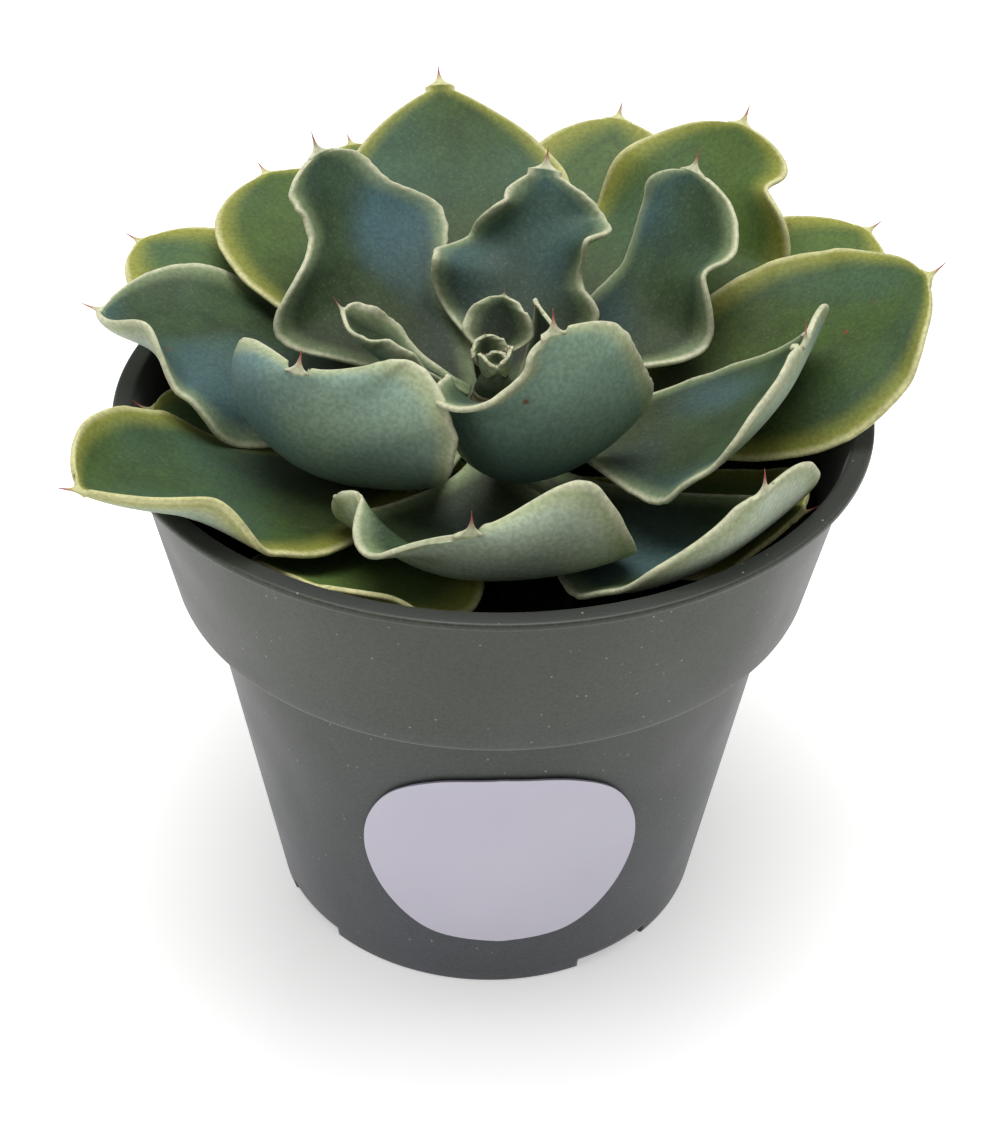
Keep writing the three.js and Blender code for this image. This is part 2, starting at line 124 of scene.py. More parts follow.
# %% Table, world and lamps
def stage_floor():
    """A white table top, much wider than the picture."""
    mesh = bpy.data.meshes.new("table_top")
    reach = 4.0
    corners = [(-reach, -reach, 0), (reach, -reach, 0), (reach, reach, 0), (-reach, reach, 0)]
    mesh.from_pydata(corners, [], [(0, 1, 2, 3)])
    table = bpy.data.objects.new("table_top", mesh)
    bpy.context.scene.collection.objects.link(table)
    material, tree, output = new_material("matt_white_paint")
    paint = node(tree, "ShaderNodeBsdfPrincipled", {
        "Base Color": linear("#f4f4f4"), "Roughness": 1.0, "Specular IOR Level": 0.0,
        "Emission Color": linear("#ffffff"), "Emission Strength": 0.42})
    tree.links.new(paint.outputs[0], output.inputs["Surface"])
    mesh.materials.append(material)


def area_light(name, place, size, power):
    """A square soft box that faces the middle of the plant. place is in mm."""
    lamp = bpy.data.lights.new(name, "AREA")
    lamp.size = size * MM
    lamp.energy = power
    light = bpy.data.objects.new(name, lamp)
    bpy.context.scene.collection.objects.link(light)
    light.location = Vector(place) * MM
    away = light.location - Vector((0, 0, 0.1))
    light.rotation_euler = away.to_track_quat("Z", "Y").to_euler()


stage_floor()
world = bpy.data.worlds.new("light_tent")
bpy.context.scene.world = world
world.use_nodes = True
world.node_tree.nodes["Background"].inputs["Color"].default_value = linear("#f7f6f4")
world.node_tree.nodes["Background"].inputs["Strength"].default_value = 0.45
area_light("soft_box_above", (0, 60, 830), 560, 5.8)
area_light("soft_box_left", (-700, -300, 400), 600, 0.7)
bpy.context.scene.view_settings.view_transform = "Standard"

# %% [markdown]
# ## From a grid of points to a piece
# Most pieces here are rings of points, one after another: a leaf is a row of flat rings from root to
# tip, and the pot is rings round its axis. One helper skins such rings and closes the ends. A curve
# with a bevel would give round sections only, and sculpting would lose the sizes.

# %% Skin rings into a closed mesh
def piece_from_rings(name, rings, node_names, material, attributes=(), smooth=True):
    """A closed mesh through rings of equally many points in mm. It rides on the part's one body,
    stands for the given solids, and carries attributes, one number per point."""
    rings = np.asarray(rings, float)
    count, around = rings.shape[:2]
    first = np.arange(around)
    after = (first + 1) % around
    faces = []
    for i in range(count - 1):
        low, high = i * around, (i + 1) * around
        faces += np.stack([low + first, low + after, high + after, high + first], 1).tolist()
    faces.append(first[::-1].tolist())
    faces.append(((count - 1) * around + first).tolist())
    mesh = bpy.data.meshes.new(name)
    mesh.from_pydata((rings.reshape(-1, 3) * MM).tolist(), [], faces)
    for key, values in dict(attributes).items():
        layer = mesh.attributes.new(key, "FLOAT", "POINT")
        layer.data.foreach_set("value", np.asarray(values, np.float32).ravel())
    return finish_piece(name, mesh, node_names, material, smooth)


def finish_piece(name, mesh, node_names, material, smooth=True):
    """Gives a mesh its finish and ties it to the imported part."""
    mesh.validate()
    mesh.polygons.foreach_set("use_smooth", [smooth] * len(mesh.polygons))
    mesh.materials.append(material)
    piece = bpy.data.objects.new(name, mesh)
    bpy.context.scene.collection.objects.link(piece)
    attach(piece, "root")
    if node_names:
        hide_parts(*node_names)
    return piece


# %% [markdown]
# ## The pot
# Real nursery pots are injection moulded from dark green polypropylene. That gives the eye a satin,
# slightly grainy skin, thin walls, a flat lip, and a collar that steps out near the top so that pots
# stack. The pot is turned from its profile, wall inside and outside in one closed line, with small
# rounded corners where the mould is rounded. The four drain slots are cut out with a boolean, since
# they cross the foot's corner.

# %% Pot sizes
POT_HEIGHT = 120
FOOT_RADIUS = 47.2
STEP_HEIGHT = 82
BODY_TOP_RADIUS = 60.5
COLLAR_FOOT_RADIUS = 66
COLLAR_TOP_RADIUS = 73.3
LIP_RADIUS = 76
LIP_THICKNESS = 1.5
WALL = 1.4
FLOOR = 2


def mix(a, b, share):
    return a + (b - a) * share


def body_radius(z):
    """Outer radius of the tapered body at a height."""
    return mix(FOOT_RADIUS, BODY_TOP_RADIUS, z / STEP_HEIGHT)


def polar(radius, azimuth, z):
    """Points from cylinder coordinates, angles in radians."""
    return np.stack(np.broadcast_arrays(radius * np.cos(azimuth), radius * np.sin(azimuth), z), -1)


# %% Pot finish
def polypropylene():
    """Moulded dark green polypropylene: satin, IOR 1.49, with fine grain and dust."""
    material, tree, output = new_material("moulded_polypropylene")
    place = node(tree, "ShaderNodeTexCoord").outputs["Object"]
    axes = node(tree, "ShaderNodeSeparateXYZ", {0: place}).outputs
    flat = node(tree, "ShaderNodeCombineXYZ", {"X": axes["X"], "Y": axes["Y"]})
    away = node(tree, "ShaderNodeVectorMath", {0: flat.outputs[0]}, operation="LENGTH")
    radius = away.outputs["Value"]
    # The collar's wall leans out by 1 in 5, so radius - height / 5 tells its inside from its outside.
    leaned = node(tree, "ShaderNodeMath", {0: axes["Z"], 1: -0.2, 2: radius}, operation="MULTIPLY_ADD")
    cloud = node(tree, "ShaderNodeTexNoise", {"Vector": place, "Scale": 45.0, "Detail": 4.0})
    grain = node(tree, "ShaderNodeTexNoise", {"Vector": place, "Scale": 1500.0, "Detail": 2.0})
    # Grains of dust, 0.3 mm wide: real ones are finer, drawn as coarse as the render can show.
    cells = node(tree, "ShaderNodeTexVoronoi", {"Vector": place, "Scale": 620.0})
    chosen = node(tree, "ShaderNodeSeparateColor", {0: cells.outputs["Color"]}).outputs[0]
    made = {
        "height": axes["Z"], "radius": radius, "leaned": leaned.outputs[0],
        "cloud": cloud.outputs["Fac"], "grain": grain.outputs["Fac"],
        "cell": cells.outputs["Distance"], "chosen": chosen,
    }
    # Each mask: its name, what it follows, from which value to which, and its start and end.
    masks = [
        ("up the pot", "height", 0.02, 0.1, 0.0, 1.0),
        ("blotch", "cloud", 0.3, 0.75, 0.0, 0.25),
        ("in the collar", "leaned", 0.0488, 0.0492, 1.0, 0.0),
        ("above the step", "height", 0.083, 0.084, 0.0, 1.0),
        ("lip's top", "height", 0.119, 0.1196, 0.0, 1.0),
        ("off the lip's edge", "radius", 0.0751, 0.0757, 1.0, 0.0),
        ("speck", "cell", 0.06, 0.18, 1.0, 0.0),
        ("dusted", "chosen", 0.88, 0.9, 0.0, 1.0),
        ("shade of grain", "grain", 0.3, 0.7, 0.7, 1.3),
        ("rough", "cloud", 0.3, 0.7, 0.42, 0.56),
    ]
    for key, source, low, high, start, end in masks:
        made[key] = node(tree, "ShaderNodeMapRange", {
            "Value": made[source], "From Min": low, "From Max": high,
            "To Min": start, "To Max": end}).outputs[0]
    for key, one, other, operation in [
            ("inside", "in the collar", "above the step", "MULTIPLY"),
            ("on the lip", "lip's top", "off the lip's edge", "MULTIPLY"),
            # painted shade inside the collar, with the lip's top darkened alike
            ("shaded inside, dark lip", "inside", "on the lip", "MAXIMUM"),
            ("dust", "speck", "dusted", "MULTIPLY")]:
        made[key] = node(tree, "ShaderNodeMath", {
            0: made[one], 1: made[other]}, operation=operation).outputs[0]
    # The body looks greyer and bluer than the collar, perhaps from dust that washes down and dries
    # there. The lip's top and the inside of the collar are nearly black: inside the collar, painted shade.
    colour = linear("#2c2f38")
    for mask, code in [("up the pot", "#2c3226"), ("blotch", "#3f4439"), ("shaded inside, dark lip", "#10160e"),
                       ("dust", "#858672")]:
        colour = node(tree, "ShaderNodeMix", {
            0: made[mask], 6: colour, 7: linear(code)}, data_type="RGBA").outputs[2]
    colour = node(tree, "ShaderNodeMix", {
        0: 1.0, 6: colour, 7: made["shade of grain"]}, data_type="RGBA", blend_type="MULTIPLY").outputs[2]
    bump = node(tree, "ShaderNodeBump", {
        "Height": made["grain"], "Strength": 0.2, "Distance": 0.0002})
    shader = node(tree, "ShaderNodeBsdfPrincipled", {
        "Base Color": colour, "Roughness": made["rough"], "Normal": bump.outputs[0], "IOR": 1.49,
        "Sheen Weight": 0.2, "Sheen Roughness": 0.45})
    tree.links.new(shader.outputs[0], output.inputs["Surface"])
    return material


# %% Turn the pot and cut its drain slots
POT_SEGMENTS = 256
SLOT_HEIGHT = 3
SLOT_SPAN = math.radians(22)
SLOT_FIRST = math.radians(36 - 90)
SLOT_INNER_RADIUS = 37


def rounded(corners, points=5):
    """A profile with each corner (radius, height, rounding) replaced by a short arc-like curve."""
    line = []
    for k, (r, z, rounding) in enumerate(corners):
        here = np.array([r, z])
        before = np.array(corners[k - 1][:2]) - here
        after = np.array(corners[(k + 1) % len(corners)][:2]) - here
        if rounding == 0 or k in (0, len(corners) - 1):
            line.append(here)
            continue
        start = here + before / np.linalg.norm(before) * rounding
        end = here + after / np.linalg.norm(after) * rounding
        for u in np.linspace(0, 1, points):
            line.append((1 - u) ** 2 * start + 2 * u * (1 - u) * here + u ** 2 * end)
    return divided(np.array(line), 3.0)


def divided(line, longest):
    """The line with its long straight stretches divided, so that the drain slots' cuts stay local."""
    pieces = []
    for a, b in zip(line[:-1], line[1:]):
        count = max(1, math.ceil(np.linalg.norm(b - a) / longest))
        pieces.append(a + (b - a) * np.linspace(0, 1, count, endpoint=False)[:, None])
    return np.concatenate(pieces + [line[-1:]])


def turned_rings(profile, segments):
    """Rings round the axis, one per profile point. A radius of 0 becomes a hair's breadth."""
    angles = np.linspace(0, 2 * math.pi, segments, endpoint=False)
    return [polar(max(r, 0.02), angles, z) for r, z in profile]


def pot_profile():
    """The wall outside and inside in one line, each corner with its rounding in mm."""
    collar_inside = COLLAR_FOOT_RADIUS - WALL
    return rounded([
        (0, 0, 0), (FOOT_RADIUS, 0, 1.0), (BODY_TOP_RADIUS, STEP_HEIGHT, 0.5),
        (COLLAR_FOOT_RADIUS, STEP_HEIGHT, 1.6), (COLLAR_TOP_RADIUS, POT_HEIGHT - LIP_THICKNESS, 0.5),
        (LIP_RADIUS, POT_HEIGHT - LIP_THICKNESS, 0.6), (LIP_RADIUS, POT_HEIGHT, 0.6),
        (COLLAR_TOP_RADIUS - WALL, POT_HEIGHT, 0.8),
        (collar_inside, STEP_HEIGHT + WALL + 1, 1.0),
        (body_radius(STEP_HEIGHT) - WALL, STEP_HEIGHT + WALL, 0.8),
        (body_radius(FLOOR) - WALL, FLOOR, 1.5), (0, FLOOR, 0),
    ])


def slot_cutter(middle):
    """A block that crosses the foot's corner, as tall as a drain slot."""
    angles = np.linspace(middle - SLOT_SPAN / 2, middle + SLOT_SPAN / 2, 13)
    outline = np.concatenate([
        polar(FOOT_RADIUS + 5, angles, 0), polar(SLOT_INNER_RADIUS, angles[::-1], 0)])
    ring = [outline + [0, 0, z] for z in (-1, SLOT_HEIGHT)]
    mesh = bpy.data.meshes.new("slot_cutter")
    around = len(outline)
    sides = [(k, (k + 1) % around, around + (k + 1) % around, around + k) for k in range(around)]
    caps = [tuple(range(around))[::-1], tuple(range(around, 2 * around))]
    mesh.from_pydata((np.concatenate(ring) * MM).tolist(), [], sides + caps)
    cutter = bpy.data.objects.new("slot_cutter", mesh)
    bpy.context.scene.collection.objects.link(cutter)
    return cutter


def apply_modifiers(piece, helpers=()):
    """Fixes a piece's modifiers into its mesh and deletes the helper objects."""
    with bpy.context.temp_override(object=piece, active_object=piece):
        for modifier in list(piece.modifiers):
            bpy.ops.object.modifier_apply(modifier=modifier.name)
    for helper in helpers:
        bpy.data.objects.remove(helper)


pot = piece_from_rings("pot_moulded", turned_rings(pot_profile(), POT_SEGMENTS), ["pot"],
                       polypropylene())
cutters = [slot_cutter(SLOT_FIRST + k * math.pi / 2) for k in range(4)]
for cutter in cutters:
    cut = pot.modifiers.new("drain_slot", "BOOLEAN")
    cut.operation = "DIFFERENCE"
    cut.object = cutter
apply_modifiers(pot, cutters)
print("pot faces:", len(pot.data.polygons))

# %% [markdown]
# ## The sticker
# A rounded triangle of pale film, stuck on the pot's front and bent round it. Here it is bare. A
# shrinkwrap would do, but its place is known: every point of the outline is laid on the tapered wall
# by its height and its distance round the pot, which is how the real one was pressed on.

# %% Sticker outline and finish
STICKER_MIDDLE = 3
STICKER_GAP = 0.35
STICKER_THICKNESS = 0.5
STICKER_OUTLINE = [
    (0.6, 16), (14.4, 18.3), (23.6, 27), (28.2, 39),
    (27.6, 51), (22.2, 61.5), (12.6, 67.3), (0.6, 68.8),
]


def spline(points, steps):
    """A smooth line through the points, of the Catmull-Rom kind, with steps parts in all."""
    points = np.asarray(points, float)
    padded = np.concatenate([points[:1], points, points[-1:]])
    line = []
    for u in np.linspace(0, len(points) - 1, steps + 1):
        k = min(int(u), len(points) - 2)
        t = u - k
        a, b, c, d = padded[k:k + 4]
        v0, v1 = (c - a) / 2, (d - b) / 2
        cubic = 2 * b - 2 * c + v0 + v1
        square = 3 * c - 3 * b - 2 * v0 - v1
        line.append(cubic * t ** 3 + square * t ** 2 + v0 * t + b)
    return np.array(line)


def vinyl_film():
    """White vinyl film: smooth, a little lilac under this light, with faint ripples from its glue."""
    material, tree, output = new_material("vinyl_film")
    place = node(tree, "ShaderNodeTexCoord").outputs["Object"]
    ripple = node(tree, "ShaderNodeTexNoise", {"Vector": place, "Scale": 260.0, "Detail": 3.0})
    cloud = node(tree, "ShaderNodeTexNoise", {"Vector": place, "Scale": 40.0, "Detail": 2.0})
    colour = node(tree, "ShaderNodeMix", {
        0: cloud.outputs["Fac"], 6: linear("#bab7c6"), 7: linear("#c4c1cf")}, data_type="RGBA")
    bump = node(tree, "ShaderNodeBump", {
        "Height": ripple.outputs["Fac"], "Strength": 0.25, "Distance": 0.0002})
    shader = node(tree, "ShaderNodeBsdfPrincipled", {
        "Base Color": colour.outputs[2], "Roughness": 0.42, "IOR": 1.5, "Normal": bump.outputs[0]})
    tree.links.new(shader.outputs[0], output.inputs["Surface"])
    return material


# %% Lay the sticker on the pot
def sticker_rings():
    """Rings from the bottom to the top of the sticker: its front and its back at one height."""
    rings = []
    share = np.linspace(-1, 1, 49)
    for half_width, z in spline(STICKER_OUTLINE, 60):
        azimuth = -math.pi / 2 + (STICKER_MIDDLE + half_width * share) / body_radius(z)
        inner = polar(body_radius(z) + STICKER_GAP, azimuth, z)
        outer = polar(body_radius(z) + STICKER_GAP + STICKER_THICKNESS, azimuth, z)
        rings.append(np.concatenate([inner, outer[::-1]]))
    return rings


sticker = piece_from_rings("sticker_film", sticker_rings(), ["sticker"],
                           vinyl_film(), smooth=False)
print("sticker points:", len(sticker.data.vertices))

# %% [markdown]
# ## The soil
# Peat with bark crumbs and a few white grains of perlite, damp and almost black. Its surface is a
# turned disc that is pushed up and down by noise, with a plain hole for the stem, and loose crumbs
# lie half sunk in it. A flat disc with a bump map would look like paint from the side.

# %% Soil and stem sizes, and the soil's finish
SOIL_TOP = 98.5
STEM_DEPTH = 24
STEM_LOW_RADIUS = 10
STEM_TOP_RADIUS = 4.2
STEM_TOP = 121
GAP = 0.35


def peat():
    """Damp peat: nearly black, rough, with browner fibres."""
    material, tree, output = new_material("damp_peat")
    place = node(tree, "ShaderNodeTexCoord").outputs["Object"]
    noisy = node(tree, "ShaderNodeTexNoise", {"Vector": place, "Scale": 700.0, "Detail": 5.0})
    lumps = noisy.outputs["Fac"]
    brown = node(tree, "ShaderNodeMapRange", {"Value": lumps, "From Min": 0.42, "From Max": 0.8})
    colour = node(tree, "ShaderNodeMix", {
        0: brown.outputs[0], 6: linear("#0d0b0b"), 7: linear("#33261d")}, data_type="RGBA")
    bump = node(tree, "ShaderNodeBump", {"Height": lumps, "Strength": 0.8, "Distance": 0.001})
    shader = node(tree, "ShaderNodeBsdfPrincipled", {
        "Base Color": colour.outputs[2], "Roughness": 0.9, "Normal": bump.outputs[0],
        "Specular IOR Level": 0.3})
    tree.links.new(shader.outputs[0], output.inputs["Surface"])
    return material


def perlite():
    """Expanded perlite: a chalky, off-white mineral foam."""
    material, tree, output = new_material("perlite_grain")
    place = node(tree, "ShaderNodeTexCoord").outputs["Object"]
    pores = node(tree, "ShaderNodeTexNoise", {"Vector": place, "Scale": 2500.0}).outputs["Fac"]
    colour = node(tree, "ShaderNodeMix", {
        0: pores, 6: linear("#8c8a80"), 7: linear("#e8e6dc")}, data_type="RGBA")
    shader = node(tree, "ShaderNodeBsdfPrincipled", {
        "Base Color": colour.outputs[2], "Roughness": 0.95})
    tree.links.new(shader.outputs[0], output.inputs["Surface"])
    return material


# %% Soil surface and crumbs
CRUMBS_FROM, CRUMBS_TO = 14, 66          # mm from the axis


def lumpy(points, size, height):
    """Points moved along Z by noise: size is the width of a lump and height its rise, in mm."""
    return [height * noise.noise(Vector(p) / size) for p in points]


def soil_rings():
    """The soil turned round the axis: up along the pot's wall, in over the surface, down the hole."""
    up_the_collar = (SOIL_TOP - STEP_HEIGHT) / (POT_HEIGHT - STEP_HEIGHT)
    collar_outside = mix(COLLAR_FOOT_RADIUS, COLLAR_TOP_RADIUS, up_the_collar)
    edge = collar_outside - WALL - 0.8
    hole = STEM_LOW_RADIUS + GAP
    inside = body_radius(STEP_HEIGHT) - WALL - 0.8
    profile = [
        (0, FLOOR + 1.85), (body_radius(FLOOR) - WALL - 1, FLOOR + 1.85),
        (inside, STEP_HEIGHT + WALL + 0.8), (COLLAR_FOOT_RADIUS - WALL - 1, STEP_HEIGHT + WALL + 1.8),
        (edge, SOIL_TOP - 1.5),
    ]
    surface = [(r, SOIL_TOP - 0.6) for r in np.linspace(edge - 1.5, hole + 1, 60)]
    bottom = SOIL_TOP - STEM_DEPTH - GAP
    rings = turned_rings(profile + surface + [(hole, SOIL_TOP - 1), (hole, bottom), (0, bottom)], 180)
    first = len(profile)
    for ring in rings[first:first + len(surface)]:
        ring[:, 2] += lumpy(ring, 7, 1.2)
        ring[:, 2] += lumpy(ring, 2, 0.7)
    return rings


def crumbs(name, count, sizes, seed, material):
    """Many small lumps half sunk in the soil, joined in one piece."""
    draw = np.random.default_rng(seed)
    shape = bmesh.new()
    for _ in range(count):
        radius = draw.uniform(*sizes)
        away = math.sqrt(draw.uniform(CRUMBS_FROM ** 2, CRUMBS_TO ** 2))
        azimuth = draw.uniform(0, 2 * math.pi)
        centre = Vector(polar(away, azimuth, SOIL_TOP + 0.2).tolist())
        lump = bmesh.ops.create_icosphere(shape, subdivisions=1, radius=radius)
        stretch = draw.uniform(0.6, 1.35, 3)
        for vert in lump["verts"]:
            vert.co = Vector(vert.co * Vector(stretch)) * (1 + draw.uniform(-0.18, 0.18)) + centre
    bmesh.ops.scale(shape, vec=(MM, MM, MM), verts=shape.verts)
    mesh = bpy.data.meshes.new(name)
    shape.to_mesh(mesh)
    shape.free()
    return finish_piece(name, mesh, [], material, smooth=False)


peat_finish = peat()
soil = piece_from_rings("potting_soil_surface", soil_rings(), ["potting_soil"], peat_finish)
bark = crumbs("soil_crumbs", 700, (0.5, 1.9), 4, peat_finish)
crumbs("soil_perlite", 26, (0.4, 0.9), 5, perlite())
print("soil faces:", len(soil.data.polygons), "crumb faces:", len(bark.data.polygons))

# %% [markdown]
# ## The stem
# A short corky stem with the ring scars of leaves that have dropped. It hardly shows, but seen from
# low down the leaves have to grow from something. It is turned like the pot, with its radius varied
# by a sum of waves round and up the stem.

# %% Stem
def cork():
    """Corky stem: dull brown-green, mottled darker and lighter by noise."""
    material, tree, output = new_material("corky_stem")
    place = node(tree, "ShaderNodeTexCoord").outputs["Object"]
    noisy = node(tree, "ShaderNodeTexNoise", {"Vector": place, "Scale": 500.0, "Detail": 4.0})
    rough = noisy.outputs["Fac"]
    colour = node(tree, "ShaderNodeMix", {
        0: rough, 6: linear("#3b3526"), 7: linear("#7c7556")}, data_type="RGBA")
    bump = node(tree, "ShaderNodeBump", {"Height": rough, "Strength": 0.6, "Distance": 0.0006})
    shader = node(tree, "ShaderNodeBsdfPrincipled", {
        "Base Color": colour.outputs[2], "Roughness": 0.85, "Normal": bump.outputs[0]})
    tree.links.new(shader.outputs[0], output.inputs["Surface"])
    return material


def stem_rings():
    """Straight in the soil, then a cone with a ring scar every 1.6 mm."""
    angles = np.linspace(0, 2 * math.pi, 64, endpoint=False)
    bottom = SOIL_TOP - STEM_DEPTH
    rings = [polar(0.02, angles, bottom), polar(STEM_LOW_RADIUS - 0.3, angles, bottom)]
    for z in np.linspace(SOIL_TOP, STEM_TOP, 60):
        radius = mix(STEM_LOW_RADIUS, STEM_TOP_RADIUS, (z - SOIL_TOP) / (STEM_TOP - SOIL_TOP))
        scar = 0.12 * np.sin(2 * math.pi * z / 1.6 + 2 * np.sin(angles)) + 0.1 * np.sin(5 * angles + z)
        rings.append(polar(radius - 0.2 + scar, angles, z))
    rings.append(polar(0.02, angles, STEM_TOP))
    return rings


piece_from_rings("stem_cork", stem_rings(), ["stem"], cork())
print("stem height in mm:", STEM_TOP - SOIL_TOP + STEM_DEPTH)

# %% [markdown]
# ## The leaf finish
# A leaf is green flesh under a clear skin with a powdery wax bloom. The bloom scatters blue light,
# so thick bloom looks blue-grey, and where it has rubbed off the green shows, yellower on the oldest
# leaves. The flesh is thin at the margin: light comes through, and the margin looks pale. Inside it
# lies a band, narrow and grey-green on young leaves, wide and yellow-green on old ones. Backs are
# paler than upper faces, more so on older leaves, and beige near the margin. The upper faces of the
# youngest leaves, deep in the rosette's heart, are painted near black as shade, and every leaf is
# painted darker towards its root as shade. The sharp point is pink to red. Each leaf carries numbers
# per point that say where on the leaf it is, and the colours follow them: along (0 root, 1 tip), edge
# (mm to the margin), face (1 upper, 0 under), point (1 on the sharp point), age (0 youngest, 1 oldest).

# %% Leaf colours
def leaf_skin(name, flesh, deep, bloom, band, rim, under):
    """Waxy leaf skin: soft sheen, IOR 1.4 as water-filled tissue, light scattered inside. Its colour
    is a stack of layers, each laid on the ones before by a mask."""
    material, tree, output = new_material(name)
    place = node(tree, "ShaderNodeTexCoord").outputs["Object"]
    made = {}
    for key in ("along", "edge", "face", "point", "age"):
        made[key] = node(tree, "ShaderNodeAttribute", attribute_name=key).outputs["Fac"]
    for key, millimetres, detail in [("wide", 34, 1.0), ("middle", 7, 4.0), ("fine", 0.9, 3.0)]:
        made[key] = node(tree, "ShaderNodeTexNoise", {
            "Vector": place, "Scale": 1000 / millimetres, "Detail": detail}).outputs["Fac"]
    # Tiny pale pores, 0.3 mm, and cells of 6 mm, some of which hold a red-brown spot of 1 mm.
    pores = node(tree, "ShaderNodeTexVoronoi", {"Vector": place, "Scale": 900.0})
    made["pore"] = pores.outputs["Distance"]
    cells = node(tree, "ShaderNodeTexVoronoi", {"Vector": place, "Scale": 170.0})
    made["cell"] = cells.outputs["Distance"]
    made["draw"] = node(tree, "ShaderNodeSeparateColor", {0: cells.outputs["Color"]}).outputs[0]
    made["mm to band"] = node(tree, "ShaderNodeMapRange", {
        "Value": made["age"], "To Min": 1 / 5, "To Max": 1 / 12}).outputs[0]
    made["into band"] = node(tree, "ShaderNodeMath", {
        0: made["edge"], 1: made["mm to band"]}, operation="MULTIPLY").outputs[0]
    # Streaks that run along the leaf: noise over its own coordinates, long along it, narrow across.
    own_place = node(tree, "ShaderNodeCombineXYZ", {
        "X": made["edge"], "Y": made["along"], "Z": made["age"]})
    stretched = node(tree, "ShaderNodeVectorMath", {
        0: own_place.outputs[0], 1: (0.4, 2.5, 60.0)}, operation="MULTIPLY")
    made["streak"] = node(tree, "ShaderNodeTexNoise", {
        "Vector": stretched.outputs[0], "Scale": 1.0, "Detail": 4.0}).outputs["Fac"]
    # Each mask: its name, what it follows, from which value to which, and its start and end.
    masks = [
        ("deep", "middle", 0.35, 0.7, 0.0, 1.0),
        # painted shade: the colour darkens towards each leaf's root, where the rosette's hollow lies in
        # shade
        ("painted shade at root", "along", 0.12, 0.85, 0.85, 0.0),
        ("back", "face", 0.1, 0.6, 1.0, 0.0),
        ("cloud", "wide", 0.42, 0.7, 0.0, 1.0),
        ("powder", "age", 0.0, 1.0, 0.8, 0.4),
        ("near edge", "into band", 0.0, 1.0, 1.0, 0.0),
        ("yellowing", "age", 0.0, 1.0, 0.65, 0.95),
        ("at edge", "edge", 0.2, 2.1, 0.9, 0.0),
        ("streaked", "streak", 0.5, 0.75, 0.0, 0.5),
        ("ragged", "middle", 0.3, 0.6, 0.7, 1.0),
        ("off root", "along", 0.05, 0.3, 0.0, 1.0),
        ("open pore", "pore", 0.1, 0.35, 0.05, 0.0),
        ("spot", "cell", 0.05, 0.16, 0.75, 0.0),
        ("spotless", "age", 0.0, 1.0, 0.98, 0.9),
        ("red", "point", 0.2, 0.8, 0.0, 1.0),
        ("grain", "fine", 0.3, 0.7, 0.86, 1.14),
        ("upper", "face", 0.4, 0.9, 0.0, 1.0),
        ("tight", "age", 0.0, 0.2, 0.75, 0.0),
        ("ripe", "age", 0.55, 0.75, 0.0, 0.7),
        ("aging", "age", 0.1, 0.45, 0.0, 0.75),
    ]
    for key, source, low, high, start, end in masks:
        made[key] = node(tree, "ShaderNodeMapRange", {
            "Value": made[source], "From Min": low, "From Max": high, "To Min": start, "To Max": end},
            interpolation_type="SMOOTHSTEP").outputs[0]
    made["rare"] = node(tree, "ShaderNodeMath", {
        0: made["draw"], 1: made["spotless"]}, operation="GREATER_THAN").outputs[0]
    for key, one, other in [("bloomed", "cloud", "powder"), ("band here", "near edge", "yellowing"),
                            ("rim there", "at edge", "off root"), ("rim here", "rim there", "ragged"),
                            ("spot here", "spot", "rare"), ("pale end", "back", "near edge"),
                            # painted shade: the upper faces of the youngest leaves, deep in the heart, are
                            # darkened
                            ("painted shade in the heart", "tight", "upper"), ("pale back", "back", "aging")]:
        made[key] = node(tree, "ShaderNodeMath", {
            0: made[one], 1: made[other]}, operation="MULTIPLY").outputs[0]
    colour = linear(flesh)
    # The layers, from the flesh upwards.
    for mask, code in [
            ("deep", deep), ("ripe", "#576d33"), ("streaked", "#3a4a30"), ("back", under),
            # painted shade: a dark olive laid towards the root of every leaf
            ("pale back", "#bcc6ae"), ("bloomed", bloom), ("painted shade at root", "#2f321d"),
            # painted shade: near black on the upper faces of the youngest leaves, in the heart
            ("painted shade in the heart", "#23281a"), ("pale end", "#b3b591"), ("band here", band),
            ("rim here", rim), ("open pore", "#a9b5a8"), ("spot here", "#7a3a2c"),
            ("red", "#9c474d")]:
        colour = node(tree, "ShaderNodeMix", {
            0: made[mask], 6: colour, 7: linear(code)}, data_type="RGBA").outputs[2]
    colour = node(tree, "ShaderNodeMix", {
        0: 1.0, 6: colour, 7: made["grain"]}, data_type="RGBA", blend_type="MULTIPLY").outputs[2]
    skin = node(tree, "ShaderNodeBump", {"Height": made["fine"], "Strength": 0.25, "Distance": 0.0002})
    rough = node(tree, "ShaderNodeMapRange", {
        "Value": made["wide"], "From Min": 0.3, "From Max": 0.7, "To Min": 0.48, "To Max": 0.62})
    shader = node(tree, "ShaderNodeBsdfPrincipled", {
        "Base Color": colour, "Roughness": rough.outputs[0], "IOR": 1.4, "Normal": skin.outputs[0],
        "Subsurface Weight": 0.12, "Subsurface Radius": (0.6, 1.0, 0.3), "Subsurface Scale": 0.002,
        "Specular IOR Level": 0.35, "Sheen Weight": 0.03, "Sheen Roughness": 0.45,
        "Sheen Tint": linear("#dfe9ef")})
    tree.links.new(shader.outputs[0], output.inputs["Surface"])
    return material


young_skin = leaf_skin("young_leaf_skin", flesh="#374c2e", deep="#2c3e26", bloom="#4b6c76",
                       band="#8a9a70", rim="#c6c5a8", under="#819c86")
old_skin = leaf_skin("old_leaf_skin", flesh="#3c5222", deep="#32451f", bloom="#3f5d50",
                     band="#92933f", rim="#c9c594", under="#a8b38a")
print("leaf materials:", young_skin.name, old_skin.name)

